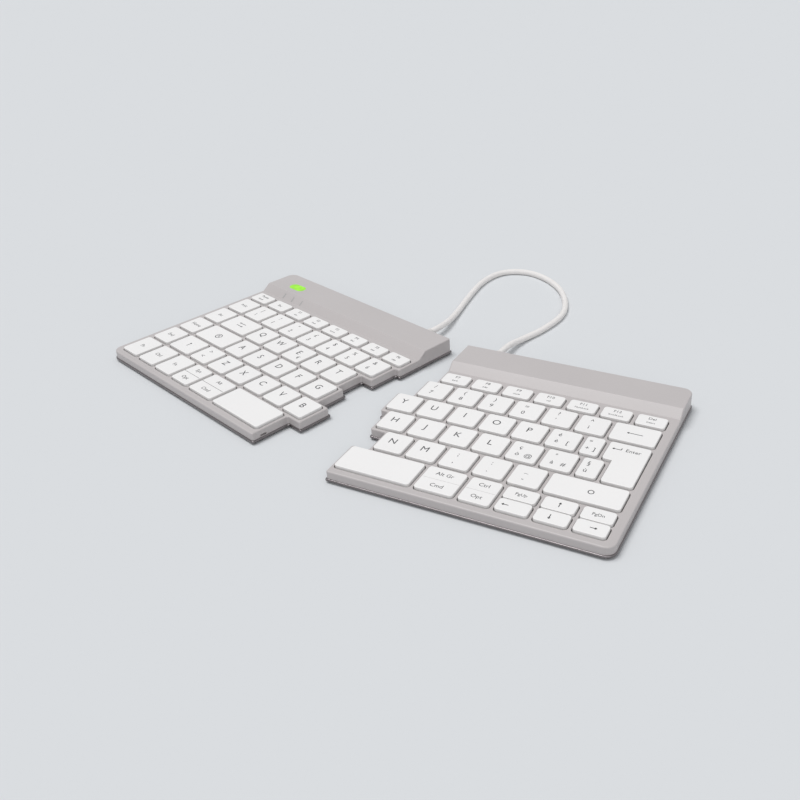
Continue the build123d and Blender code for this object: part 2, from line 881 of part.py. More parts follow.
def corner_radii(points):
    """The widest bend that each corner of the path has room for."""
    radii = []
    for before, corner, after in zip(points, points[1:], points[2:]):
        arriving = corner - before
        leaving = after - corner
        half_turn = math.radians(arriving.get_angle(leaving)) / 2
        radii.append(bend_share * min(arriving.length, leaving.length) / math.tan(half_turn))
    return radii


def make_cable():
    """Round cable that runs in a wide loop on the desk from one half to the other."""
    points = cable_points()
    with BuildPart() as cable:
        with BuildLine() as path:
            FilletPolyline(*points, radius=corner_radii(points))
        with BuildSketch(Plane(origin=path.line @ 0, z_dir=path.line % 0)):
            Circle(cable_diameter / 2)
        sweep()
    return cable.part


board_top = board_bottom + board_thickness
socket_middle = board_top + socket_height / 2
switch_middle = board_top + switch_rise
left.exit_x = left.from_end(left_exit_from_end)
right.exit_x = right.from_end(right_exit_from_end)
left.seats = left.caps
right.seats = [cap for cap in right.caps if cap is not enter_upper]

for half in (left, right):
    sheet_inset = scissor_clearance
    write(make_top_case(half), half.name + "_top_case")
    write(make_base_plate(half), half.name + "_base_plate")
    support = make_sheet(half, plate_top, support_thickness, sheet_inset, 0)
    write(support, half.name + "_support_plate")
    film = make_sheet(half, support_top, membrane_thickness, sheet_inset + membrane_inset, tail_reach)
    write(film, half.name + "_membrane")
    write(make_domes(half), half.name + "_domes")
    write(make_scissors(half), half.name + "_scissors")
    write(make_board(half), half.name + "_circuit_board")
    write(make_screws(half), half.name + "_case_screws")
    write(make_feet(half), half.name + "_feet")
    write(make_sleeve(half), half.name + "_cable_sleeve")
    for name, footprints in half.groups.items():
        write(make_caps(half, footprints), name)

write(make_caps(right, enter_caps), "right_enter_key")
write(make_cell(left), "left_battery_cell")
write(make_light(left), "left_indicator_lens")
write(make_status_lights(left), "left_status_lights")
write(make_socket(left), "left_charging_socket")
write(make_switch(left), "left_power_switch")
write(make_cable(), "connecting_cable")

print("pivot", pivot)
print("left axis", left.plane.x_dir, "right axis", right.plane.x_dir)
print("bend radii", [round(radius) for radius in corner_radii(cable_points())])
print("switch", left.plane.from_local_coords((left.inward(switch_from_outer), rear_edge, switch_middle)))
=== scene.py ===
"""Split keyboard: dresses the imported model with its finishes, key legends, cable and desk."""
import json
import math

import bmesh
import bpy
from bpy.props import FloatProperty, FloatVectorProperty, PointerProperty
from bpy.types import Operator, Panel, PropertyGroup
from mathutils import Matrix, Vector
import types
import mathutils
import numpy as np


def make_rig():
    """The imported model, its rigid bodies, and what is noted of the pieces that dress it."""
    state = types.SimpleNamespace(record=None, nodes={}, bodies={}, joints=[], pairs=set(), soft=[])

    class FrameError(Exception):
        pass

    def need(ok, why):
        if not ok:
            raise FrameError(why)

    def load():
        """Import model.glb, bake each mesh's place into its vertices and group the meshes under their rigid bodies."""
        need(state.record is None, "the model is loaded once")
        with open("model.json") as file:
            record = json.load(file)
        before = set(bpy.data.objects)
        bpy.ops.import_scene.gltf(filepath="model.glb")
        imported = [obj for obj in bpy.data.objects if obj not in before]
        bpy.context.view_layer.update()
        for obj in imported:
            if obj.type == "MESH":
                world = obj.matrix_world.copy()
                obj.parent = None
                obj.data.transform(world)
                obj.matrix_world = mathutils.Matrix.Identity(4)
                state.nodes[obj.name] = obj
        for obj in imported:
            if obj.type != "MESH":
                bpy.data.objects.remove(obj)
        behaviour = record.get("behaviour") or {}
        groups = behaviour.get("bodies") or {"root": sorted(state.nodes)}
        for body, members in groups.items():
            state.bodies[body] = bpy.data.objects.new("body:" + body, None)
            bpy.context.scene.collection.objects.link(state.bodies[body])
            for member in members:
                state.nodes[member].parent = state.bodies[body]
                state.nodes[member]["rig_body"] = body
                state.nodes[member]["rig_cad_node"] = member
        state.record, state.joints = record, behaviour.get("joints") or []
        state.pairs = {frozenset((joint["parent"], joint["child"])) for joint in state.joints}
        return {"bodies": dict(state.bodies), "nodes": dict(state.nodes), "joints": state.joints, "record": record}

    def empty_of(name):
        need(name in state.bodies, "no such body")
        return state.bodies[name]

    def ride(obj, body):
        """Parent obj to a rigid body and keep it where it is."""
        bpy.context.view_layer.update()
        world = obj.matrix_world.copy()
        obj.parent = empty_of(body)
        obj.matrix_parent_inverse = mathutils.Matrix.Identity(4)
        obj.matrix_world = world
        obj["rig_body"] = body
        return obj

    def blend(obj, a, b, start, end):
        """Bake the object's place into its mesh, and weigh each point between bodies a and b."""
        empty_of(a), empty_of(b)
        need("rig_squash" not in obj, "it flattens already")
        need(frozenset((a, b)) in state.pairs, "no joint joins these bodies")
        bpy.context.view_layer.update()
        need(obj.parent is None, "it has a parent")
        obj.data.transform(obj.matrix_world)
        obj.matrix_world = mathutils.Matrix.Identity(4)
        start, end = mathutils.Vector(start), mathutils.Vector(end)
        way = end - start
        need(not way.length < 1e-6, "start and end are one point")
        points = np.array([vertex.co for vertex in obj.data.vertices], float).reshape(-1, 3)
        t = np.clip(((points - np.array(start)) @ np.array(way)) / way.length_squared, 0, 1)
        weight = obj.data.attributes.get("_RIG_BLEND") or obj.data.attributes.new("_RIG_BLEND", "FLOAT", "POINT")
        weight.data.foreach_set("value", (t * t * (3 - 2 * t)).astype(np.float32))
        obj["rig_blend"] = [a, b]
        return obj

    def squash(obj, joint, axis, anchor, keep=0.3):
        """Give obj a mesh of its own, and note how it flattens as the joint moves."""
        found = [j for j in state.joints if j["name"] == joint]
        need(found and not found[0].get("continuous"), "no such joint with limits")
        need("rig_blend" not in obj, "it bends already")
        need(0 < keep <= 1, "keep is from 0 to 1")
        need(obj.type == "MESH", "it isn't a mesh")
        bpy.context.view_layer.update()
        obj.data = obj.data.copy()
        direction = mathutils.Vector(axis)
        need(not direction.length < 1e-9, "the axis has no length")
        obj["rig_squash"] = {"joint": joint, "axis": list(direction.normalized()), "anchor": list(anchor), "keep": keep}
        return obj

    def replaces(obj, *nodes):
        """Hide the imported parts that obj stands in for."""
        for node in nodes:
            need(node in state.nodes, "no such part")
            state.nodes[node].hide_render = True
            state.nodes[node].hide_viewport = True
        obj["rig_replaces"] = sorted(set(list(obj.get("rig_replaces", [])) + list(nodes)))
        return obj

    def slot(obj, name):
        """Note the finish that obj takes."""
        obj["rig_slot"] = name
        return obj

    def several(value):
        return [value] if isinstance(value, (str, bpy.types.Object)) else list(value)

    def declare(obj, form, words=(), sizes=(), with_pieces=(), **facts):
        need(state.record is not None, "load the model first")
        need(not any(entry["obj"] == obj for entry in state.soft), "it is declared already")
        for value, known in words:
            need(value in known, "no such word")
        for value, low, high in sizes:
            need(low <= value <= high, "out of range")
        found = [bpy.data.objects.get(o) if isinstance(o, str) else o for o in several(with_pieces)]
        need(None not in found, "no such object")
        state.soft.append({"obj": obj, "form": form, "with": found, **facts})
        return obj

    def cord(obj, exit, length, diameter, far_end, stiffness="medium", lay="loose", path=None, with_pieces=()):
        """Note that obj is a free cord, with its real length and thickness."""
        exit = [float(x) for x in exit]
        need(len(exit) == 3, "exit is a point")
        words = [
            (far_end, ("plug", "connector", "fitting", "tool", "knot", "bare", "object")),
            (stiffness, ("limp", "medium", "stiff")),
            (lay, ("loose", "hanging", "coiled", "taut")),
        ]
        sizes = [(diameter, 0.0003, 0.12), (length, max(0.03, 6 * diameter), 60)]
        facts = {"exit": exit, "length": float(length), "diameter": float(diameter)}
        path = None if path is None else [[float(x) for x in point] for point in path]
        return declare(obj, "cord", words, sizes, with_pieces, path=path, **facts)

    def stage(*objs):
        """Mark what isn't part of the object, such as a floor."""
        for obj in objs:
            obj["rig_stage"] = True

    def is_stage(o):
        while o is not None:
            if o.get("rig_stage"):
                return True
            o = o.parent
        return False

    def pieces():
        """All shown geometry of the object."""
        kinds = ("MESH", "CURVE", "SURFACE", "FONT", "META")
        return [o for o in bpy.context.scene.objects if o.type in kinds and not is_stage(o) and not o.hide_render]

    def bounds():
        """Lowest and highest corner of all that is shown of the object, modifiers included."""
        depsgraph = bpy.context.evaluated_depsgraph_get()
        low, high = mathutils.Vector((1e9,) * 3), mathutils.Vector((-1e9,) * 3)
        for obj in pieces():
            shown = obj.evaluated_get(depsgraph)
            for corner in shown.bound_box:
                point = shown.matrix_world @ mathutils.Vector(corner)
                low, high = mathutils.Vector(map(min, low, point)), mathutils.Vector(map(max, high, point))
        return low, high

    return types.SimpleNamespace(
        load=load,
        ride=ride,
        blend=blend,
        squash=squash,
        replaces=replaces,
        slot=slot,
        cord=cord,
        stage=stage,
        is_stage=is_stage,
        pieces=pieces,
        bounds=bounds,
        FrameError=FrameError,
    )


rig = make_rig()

bl_info = {
    "name": "Split keyboard",
    "version": (1, 0, 0),
    "blender": (4, 5, 0),
    "location": "View3D > Sidebar > Keyboard",
    "description": "Builds the finishes, legends and cable of a split keyboard",
    "category": "Object",
}

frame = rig.load()
NODES = frame["nodes"]
CAD_BOX = [[float(value) for value in corner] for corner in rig.bounds()]
JOINTS = frame["record"]["behaviour"]["joints"]
PIVOT = Vector(next(joint["pos_m"] for joint in JOINTS if joint["name"] == "split_angle"))

MM = 0.001

# Sizes that the part's source sets, in millimetres, in each half's own frame
PITCH = 19.0
FUNCTION_PITCH = 19.5
KEY_GAP = 2.7
CAP_WIDTH = 16.3
CAP_DEPTH = 16.4
CAP_TOP = 8.6
HALF_TURN = math.radians(8.85)
REAR_EDGE = 140.0
# Inner end of each ridge, and where its rear corner lies from the pivot
RIDGE_ENDS = {"left": 135.9, "right": 136.45}
CORNERS = {"left": (-7.15, 0.6), "right": (7.15, -0.6)}
# Front edge and depth of the caps in each row
ROWS = {
    "space": (0.0, 19.1), "near": (0.0, 9.2), "far": (9.9, 9.2), "shift": (21.7, CAP_DEPTH),
    "home": (40.7, CAP_DEPTH), "top": (59.7, CAP_DEPTH), "number": (78.7, CAP_DEPTH),
    "function": (97.7, 10.2),
}

# Painted shade: a near-black piece behind the side slot that darkens it, in millimetres of the left
# half: middle, height, half length, half height and corner radius, the places of its two faces,
# and the steps in each corner
SLOT_SHADE = (2.6, 3.5, 2.4, 0.74, 0.3)
SLOT_SHADE_FACES = (125.16, 125.24)
SLOT_SHADE_STEPS = 4

# Finishes: reach of the fine bumps in metres, scale of the grain and drift of the gloss of moulded
# plastic, scale of the streaks along and across a sheet, then the darkest share of the colour of
# steel and of the lit lens, the share of painted shade in the grooves of the cable's ribs, and the
# angle in radians at which those ribs slant
BUMP_REACH = 0.0001
GRAIN_SCALE = 4200.0
GLOSS_DRIFT = 0.06
SHEET_SCALE = (60.0, 2600.0, 2600.0)
DARK_STEEL = 0.82
DARK_PATCH = 0.8
RIB_GROOVE_SHADE = 0.93
RIB_SLANT = 0.5

# Smoothness of the cable: points per stretch of its line, sides of its tube; then how far its
# map of ribs runs along the tube, in radii, and how often it repeats along and round it
CABLE_POINTS = 14
CABLE_SIDES = 20
RIB_RUN = 12
RIB_REPEATS = (3, 2)

# Split domes and scissors: cells to a millimetre, distance that welds corners in metres, and the
# angle of a sharp edge
SHARE_CELLS = 2
WELD = 1e-7
SHARP_EDGE = math.radians(30)

# Legends of words, by kind. For each word: its place in the legend from zero, millimetres to the
# right of and above the middle of its key, the setting for its height and a share of that height
LETTER = (0, -0.9, 0.8, "letter_height", 1.0)
WORDS = {
    "letter": (LETTER,),
    "mark": (LETTER, (1, 3.6, -3.8, "small_height", 1.0)),
    "pair": ((1, -1.5, 3.4, "letter_height", 0.72), (0, -1.5, -3.0, "letter_height", 0.72)),
    "small": ((0, 0.0, 0.0, "small_height", 1.0),),
    "tiny": ((0, 0.0, 0.0, "small_height", 0.8),),
    "duo": ((0, 0.0, 2.0, "small_height", 0.84), (1, 0.0, -1.9, "small_height", 0.55)),
    "lock": ((0, 0.0, 0.0, "small_height", 1.0),),
    "enter": ((0, 2.6, 2.4, "small_height", 1.0),),
}
# Three marks on one key: for each its place in the legend, side and rise. They stand to a side by
# the shift, or on a narrow key by its width over the spread. Last is their share of a letter's
# height
TRIO_PLACES = ((1, -1, 3.2), (0, -1, -3.0), (2, 1, -3.0))
TRIO_SHIFT = 3.0
TRIO_SPREAD = 5
TRIO_SHARE = 0.7
# Drawn legends: arrows by place, length and degrees, rings by place and radius, and the short
# upright stroke of the Enter key's arrow by place and length
ARROWS = {
    "long_arrow": ((0.0, 0.0, 8.5, 180),),
    "enter": ((-6.0, 2.0, 4.6, 180),),
    "tab": ((0.0, 1.5, 6.0, 180), (0.0, -1.5, 6.0, 0)),
    "shift": ((0.0, 0.0, 4.0, 90),),
}
RINGS = {"lock": ((0.0, 0.0, 2.2),), "ring": ((2.5, 0.0, 1.4),)}
ENTER_STROKE = (-3.7, 2.0, 1.6)

# Print, in millimetres: a capital's share of the font's size, the length of an arrow on its own
# key, the head of any arrow and how far it turns back in radians, the bars of a ring and their
# length as a share of its radius, then how much shorter a dividing line is than its cap, its
# width and colour on each half, the colours being one print painted darker on the left and lighter
# on the right as painted shade and painted light, and its depth
CAPITAL_SHARE = 0.70
ARROW_LENGTH = 3.4
ARROW_HEAD = 1.1
ARROW_TURN = 2.6
RING_BARS = 20
RING_BAR_SHARE = 0.33
DIVIDER_SHORTER = 0.8
DIVIDER_WIDTHS = {"left": 0.32, "right": 0.18}
DIVIDER_LIT_TONES = {"left": (0.24, 0.23, 0.23), "right": (0.52, 0.50, 0.49)}
DIVIDER_DEPTH = 0.02

# Size of the floor in metres, the colour and strength of the room's light, then each soft lamp:
# name, degrees round from the front, degrees up, degrees of spread, share of the strength
FLOOR_REACH = 6.0
ROOM_LIGHT = ((0.95, 0.97, 1.0), 0.41)
LAMPS = (("side_lamp", 45.0, 34.0, 50.0, 0.24), ("top_lamp", -70.0, 74.0, 32.0, 0.66))
LAMP_DISTANCE = 2.0

# Camera fitted to the corners of the photographed caps: the picture's right and down and the view
# direction, the eye in metres, then the focal length, the picture and its centre in pixels
CAMERA_RIGHT = Vector((0.82493, 0.56458, -0.02715))
CAMERA_DOWN = Vector((0.27263, -0.43952, -0.85586))
CAMERA_FORWARD = Vector((-0.49513, 0.69863, -0.51649))
CAMERA_EYE = Vector((0.30962, -0.35326, 0.27649))
FOCAL_PIXELS = 920.69
PICTURE_PIXELS = 800
CENTRE_PIXEL = 470
SENSOR_WIDTH = 36.0


def half_matrix(side):
    """Place of a half's own frame in the row frame, in metres."""
    turn = -HALF_TURN if side == "left" else HALF_TURN
    rotation = Matrix.Rotation(turn, 4, "Z")
    corner = rotation @ Vector((RIDGE_ENDS[side] * MM, REAR_EDGE * MM, 0))
    target = PIVOT + Vector((CORNERS[side][0] * MM, CORNERS[side][1] * MM, 0))
    return Matrix.Translation(target - corner) @ rotation


def material(name):
    """A new node material with an empty tree."""
    made = bpy.data.materials.new(name)
    made.use_nodes = True
    made.node_tree.nodes.clear()
    return made


class Shade:
    """A socket in a node tree; arithmetic on it adds Math nodes."""

    def __init__(self, tree, socket):
        self.tree = tree
        self.socket = socket

    def node(self, kind, settings=None, inputs=None, output=0):
        """One output of a new node with these properties and inputs."""
        made = self.tree.nodes.new(kind)
        for key, value in (settings or {}).items():
            if key == "stops":
                ramp = made.color_ramp
                while len(ramp.elements) < len(value):
                    ramp.elements.new(0.5)
                for element, (place, colour) in zip(ramp.elements, value):
                    element.position = place
                    element.color = colour
            else:
                setattr(made, key, value)
        for key, value in (inputs or {}).items():
            target = made.inputs[key]
            if isinstance(value, Shade):
                self.tree.links.new(value.socket, target)
            else:
                target.default_value = value
        return Shade(self.tree, made.outputs[output])

    def noise(self, place, scale, detail):
        """Noise over these coordinates."""
        inputs = {"Vector": place, "Scale": scale, "Detail": detail}
        return self.node("ShaderNodeTexNoise", None, inputs)

    def ramp(self, factor, first, second):
        """Colour between two stops, each a place and a colour."""
        return self.node("ShaderNodeValToRGB", {"stops": [first, second]}, {"Fac": factor})

    def bump(self, height, strength, reach=BUMP_REACH):
        """Fine relief from a height."""
        inputs = {"Height": height, "Strength": strength, "Distance": reach}
        return self.node("ShaderNodeBump", None, inputs)

    def maths(self, operation, first, second):
        """Math node on two numbers or sockets."""
        return self.node("ShaderNodeMath", {"operation": operation}, {0: first, 1: second})

    def __add__(self, other):
        return self.maths("ADD", self, other)

    def __rsub__(self, other):
        return self.maths("SUBTRACT", other, self)

    def __mul__(self, other):
        return self.maths("MULTIPLY", self, other)


def rgba(colour):
    """Opaque colour with four values."""
    return (*tuple(colour)[:3], 1.0)


def start_tree(made):
    """Principled shader, output and object coordinates of a new material."""
    tree = made.node_tree
    root = Shade(tree, None)
    shader = root.node("ShaderNodeBsdfPrincipled").socket.node
    output = tree.nodes.new("ShaderNodeOutputMaterial")
    tree.links.new(shader.outputs[0], output.inputs[0])
    coordinates = tree.nodes.new("ShaderNodeTexCoord")
    return root, shader, Shade(tree, coordinates.outputs["Object"])


def moulded(name, colour, roughness, mottle=0.03, bump=0.04, coat=0.0):
    """Moulded plastic: faint colour drift, fine spark-eroded grain and uneven gloss."""
    made = material(name)
    root, shader, place = start_tree(made)
    tree = made.node_tree
    drift = root.noise(place, scale=18.0, detail=3.0)
    grain = root.noise(place, scale=GRAIN_SCALE, detail=2.0)
    low = rgba([value * (1 - mottle) for value in colour])
    high = rgba([min(1.0, value * (1 + mottle)) for value in colour])
    tint = root.ramp(drift, (0.3, low), (0.7, high))
    tree.links.new(tint.socket, shader.inputs["Base Color"])
    gloss = drift * GLOSS_DRIFT + (roughness - GLOSS_DRIFT / 2)
    tree.links.new(gloss.socket, shader.inputs["Roughness"])
    relief = root.bump(grain, bump)
    tree.links.new(relief.socket, shader.inputs["Normal"])
    shader.inputs["Coat Weight"].default_value = coat
    return made


def steel(name, colour, roughness, streak):
    """Rolled steel: metal with fine streaks along the sheet and slight darkening."""
    made = material(name)
    root, shader, place = start_tree(made)
    tree = made.node_tree
    stretched = root.node("ShaderNodeMapping", None, {"Vector": place, "Scale": SHEET_SCALE})
    lines = root.noise(stretched, scale=1.0, detail=3.0)
    cloud = root.noise(place, scale=24.0, detail=2.0)
    low = rgba([value * DARK_STEEL for value in colour])
    tint = root.ramp(cloud, (0.25, low), (0.75, rgba(colour)))
    tree.links.new(tint.socket, shader.inputs["Base Color"])
    tree.links.new((lines * streak + (roughness - streak / 2)).socket, shader.inputs["Roughness"])
    relief = root.bump(lines, 0.05)
    tree.links.new(relief.socket, shader.inputs["Normal"])
    shader.inputs["Metallic"].default_value = 1.0
    return made


def braided(name, colour):
    """Pale cable jacket: fine slanted ribs round and along the tube, from its own UV map, with painted shade darkening
    the grooves between the ribs.
    """
    made = material(name)
    root, shader, _ = start_tree(made)
    tree = made.node_tree
    along = root.node("ShaderNodeTexCoord", None, None, 2)
    turned = root.node("ShaderNodeMapping", None, {"Vector": along, "Rotation": (0, 0, RIB_SLANT)})
    waves = {"Vector": turned, "Scale": 9.0, "Distortion": 0.4}
    ribs = root.node("ShaderNodeTexWave", {"bands_direction": "X"}, waves, 1)
    # Painted shade: the colour darkens where the ribs' relief is lowest, in their grooves
    low = rgba([value * RIB_GROOVE_SHADE for value in colour])
    tint = root.ramp(ribs, (0.1, low), (0.7, rgba(colour)))
    tree.links.new(tint.socket, shader.inputs["Base Color"])
    tree.links.new((0.55 - ribs * 0.08).socket, shader.inputs["Roughness"])
    relief = root.bump(ribs, 0.35, 2 * BUMP_REACH)
    tree.links.new(relief.socket, shader.inputs["Normal"])
    return made


def lit_lens(name, colour, glow):
    """Clear lens with a soft light behind it that is brighter in patches."""
    made = material(name)
    root, shader, place = start_tree(made)
    tree = made.node_tree
    cloud = root.noise(place, scale=260.0, detail=1.0)
    low = rgba([value * DARK_PATCH for value in colour])
    tint = root.ramp(cloud, (0.3, low), (0.7, rgba(colour)))
    tree.links.new(tint.socket, shader.inputs["Base Color"])
    tree.links.new(tint.socket, shader.inputs["Emission Color"])
    shader.inputs["Emission Strength"].default_value = glow
    shader.inputs["Roughness"].default_value = 0.4
    shader.inputs["Coat Weight"].default_value = 0.15
    return made


def dress(name, made):
    """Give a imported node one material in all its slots."""
    target = NODES[name]
    if not target.material_slots:
        target.data.materials.append(made)
    for slot in target.material_slots:
        slot.material = made


def colour_setting(name, description, default):
    """Colour in the add-on's settings."""
    return FloatVectorProperty(name=name, description=description, subtype="COLOR", default=default)


def length_setting(name, description, default):
    """Length in the add-on's settings, in metres."""
    return FloatProperty(name=name, description=description, default=default, unit="LENGTH")


class FinishSettings(PropertyGroup):
    """Colours of the keyboard's finishes."""

    key_colour: colour_setting("Keys", "Colour of the key caps", (0.87, 0.855, 0.845))
    case_colour: colour_setting("Case", "Colour of both shells", (0.515, 0.482, 0.477))
    legend_colour: colour_setting("Legends", "Colour of the printed legends", (0.045, 0.045, 0.05))
    plate_colour: colour_setting("Base plates", "Colour of the steel plates", (0.235, 0.215, 0.22))
    cable_colour: colour_setting("Cable", "Colour of the cable's jacket", (0.90, 0.87, 0.85))
    light_colour: colour_setting("Light", "Colour of the lit lens", (0.30, 0.78, 0.01))


class LegendSettings(PropertyGroup):
    """Sizes of the printed legends."""

    letter_height: length_setting("Letter height", "Height of a capital letter", 0.0044)
    small_height: length_setting("Small height", "Height of small words", 0.0026)
    ink_depth: length_setting("Ink depth", "Thickness of the print on the caps", 0.00003)
    line_width: length_setting("Line width", "Width of the lines of arrows and rings", 0.00045)


class SpringSettings(PropertyGroup):
    """How the domes and scissors flatten under a pressed key."""

    floor_height: length_setting("Floor height", "Height of the film under the domes", 0.00325)
    pressed_share: FloatProperty(
        name="Pressed share", description="Share of the height left under a pressed key",
        default=0.66,
    )


class CableSettings(PropertyGroup):
    """Size of the cable between the halves."""

    diameter: length_setting("Diameter", "Diameter of the cable", 0.004)


class StageSettings(PropertyGroup):
    """Floor and lights."""

    floor_colour: colour_setting("Floor", "Colour of the plain floor", (0.70, 0.715, 0.73))
    lamp_power: FloatProperty(
        name="Lamp strength", description="Strength that the soft lamps share", default=2.5
    )


class KEYBOARD_OT_finishes(Operator):
    """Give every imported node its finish"""

    bl_idname = "keyboard.finishes"
    bl_label = "Finishes"

    def execute(self, context):
        colours = context.scene.keyboard_finish
        keys = moulded("key_plastic", colours.key_colour, 0.48, mottle=0.012, bump=0.03)
        case = moulded("case_plastic", colours.case_colour, 0.36, mottle=0.02, bump=0.05)
        plate = steel("polished_plate", colours.plate_colour, 0.18, 0.06)
        inner_steel = steel("plain_steel", (0.42, 0.42, 0.43), 0.35, 0.15)
        screw = steel("screw_steel", (0.55, 0.54, 0.52), 0.30, 0.10)
        rubber = moulded("foot_rubber", (0.03, 0.03, 0.032), 0.75, mottle=0.10, bump=0.2)
        inner = moulded("inner_plastic", (0.62, 0.61, 0.58), 0.55)
        dome = moulded("dome_rubber", (0.55, 0.56, 0.55), 0.6)
        film = moulded("switch_film", (0.48, 0.50, 0.47), 0.30, coat=0.4)
        board = moulded("board_lacquer", (0.03, 0.16, 0.07), 0.35, mottle=0.10, coat=0.5)
        wrap = moulded("cell_wrap", (0.22, 0.24, 0.28), 0.40)
        black = moulded("switch_plastic", (0.04, 0.04, 0.042), 0.45)
        sleeve = moulded("sleeve_plastic", (0.70, 0.68, 0.66), 0.50)
        guide = moulded("light_guide", (0.41, 0.40, 0.395), 0.35, coat=0.2)
        green = lit_lens("green_light", colours.light_colour, 0.25)
        by_suffix = {
            "top_case": case, "base_plate": plate, "support_plate": inner_steel, "membrane": film,
            "domes": dome, "scissors": inner, "circuit_board": board, "case_screws": screw,
            "feet": rubber, "cable_sleeve": sleeve, "battery_cell": wrap, "indicator_lens": green,
            "status_lights": guide, "charging_socket": screw, "power_switch": black,
            "connecting_cable": sleeve,
        }
        for name in NODES:
            if name.endswith("_key") or name.endswith("_keys"):
                dress(name, keys)
                continue
            for suffix, made in by_suffix.items():
                if name.endswith(suffix):
                    dress(name, made)
        return {"FINISHED"}


def cable_route():
    """Control points of the cable's line, from the left sleeve to the right one."""
    points = [
        (-30.0, 10.22, 5.6), (-28.31, 21.1, 5.6), (-34.0, 42.0, 2.3), (-44.5, 76.0, 2.0),
        (-50.8, 103.0, 2.0), (-47.5, 124.0, 2.0), (-31.5, 133.5, 2.0), (-13.0, 130.0, 2.0),
        (4.5, 119.5, 2.0), (18.5, 103.0, 2.0), (28.0, 83.5, 2.0), (27.6, 58.0, 2.0),
        (22.6, 36.0, 2.3), (22.9, 19.06, 5.6), (24.6, 8.2, 5.6),
    ]
    return [PIVOT + Vector(point) * MM for point in points]


def tube_mesh(name, path, radius, sides):
    """A closed round tube along some points, with its own UV map in tube widths."""
    mesh = bpy.data.meshes.new(name)
    body = bmesh.new()
    uv = body.loops.layers.uv.new("run")
    rings = []
    walked = []
    length = 0.0
    up = Vector((0, 0, 1))
    for number, point in enumerate(path):
        before = path[max(number - 1, 0)]
        after = path[min(number + 1, len(path) - 1)]
        if number:
            length += (point - path[number - 1]).length
        walked.append(length)
        forward = (after - before).normalized()
        side = forward.cross(up).normalized()
        over = side.cross(forward).normalized()
        ring = []
        for step in range(sides):
            angle = 2 * math.pi * step / sides
            spoke = side * math.cos(angle) + over * math.sin(angle)
            ring.append(body.verts.new(point + spoke * radius))
        rings.append(ring)
    for number, (ring, next_ring) in enumerate(zip(rings, rings[1:])):
        for step in range(sides):
            other = (step + 1) % sides
            face = body.faces.new((ring[step], ring[other], next_ring[other], next_ring[step]))
            face.smooth = True
            for loop, (ahead, around) in zip(face.loops, ((0, 0), (0, 1), (1, 1), (1, 0))):
                run = walked[number + ahead] / (RIB_RUN * radius)
                turn = (step + around) / sides
                loop[uv].uv = (run * RIB_REPEATS[0], turn * RIB_REPEATS[1])
    body.faces.new(list(reversed(rings[0])))
    body.faces.new(rings[-1])
    bmesh.ops.recalc_face_normals(body, faces=body.faces)
    body.to_mesh(mesh)
    body.free()
    return mesh


class KEYBOARD_OT_cable(Operator):
    """Build the cable that joins the two halves"""

    bl_idname = "keyboard.cable"
    bl_label = "Cable"

    def execute(self, context):
        diameter = context.scene.keyboard_cable.diameter
        route = cable_route()
        curve = bpy.data.curves.new("cable_line", "CURVE")
        curve.dimensions = "3D"
        curve.resolution_u = CABLE_POINTS
        spline = curve.splines.new("NURBS")
        spline.points.add(len(route) - 1)
        for point, place in zip(spline.points, route):
            point.co = (*place, 1.0)
        spline.order_u = 3
        spline.use_endpoint_u = True
        line = bpy.data.objects.new("cable_line", curve)
        context.collection.objects.link(line)
        context.view_layer.update()
        graph = context.evaluated_depsgraph_get()
        read = bpy.data.meshes.new_from_object(line.evaluated_get(graph))
        path = [vertex.co.copy() for vertex in read.vertices]
        bpy.data.objects.remove(line)
        made = tube_mesh("cable_jacket", path, diameter / 2, CABLE_SIDES)
        piece = bpy.data.objects.new("cable_jacket", made)
        context.collection.objects.link(piece)
        made.materials.append(braided("cable_braid", context.scene.keyboard_finish.cable_colour))
        length = sum((b - a).length for a, b in zip(path, path[1:]))
        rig.replaces(piece, "connecting_cable")
        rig.slot(piece, "cable_white")
        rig.blend(piece, "left_half", "right_half", start=path[0], end=path[-1])
        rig.cord(
            piece, exit=path[0], length=length, diameter=diameter, far_end="object",
            stiffness="medium", lay="loose", path=path,
        )
        return {"FINISHED"}


def row_keys(row, start, words, pitch=PITCH):
    """Legends of a run of keys: row, left edge, width, words."""
    width = PITCH - KEY_GAP
    return [(row, start + place * pitch, width, text) for place, text in enumerate(words)]


def wide(row, start, share, text):
    """Legend of one key whose left edge and width are given in pitches."""
    return [(row, start * PITCH, share * PITCH - KEY_GAP, text)]


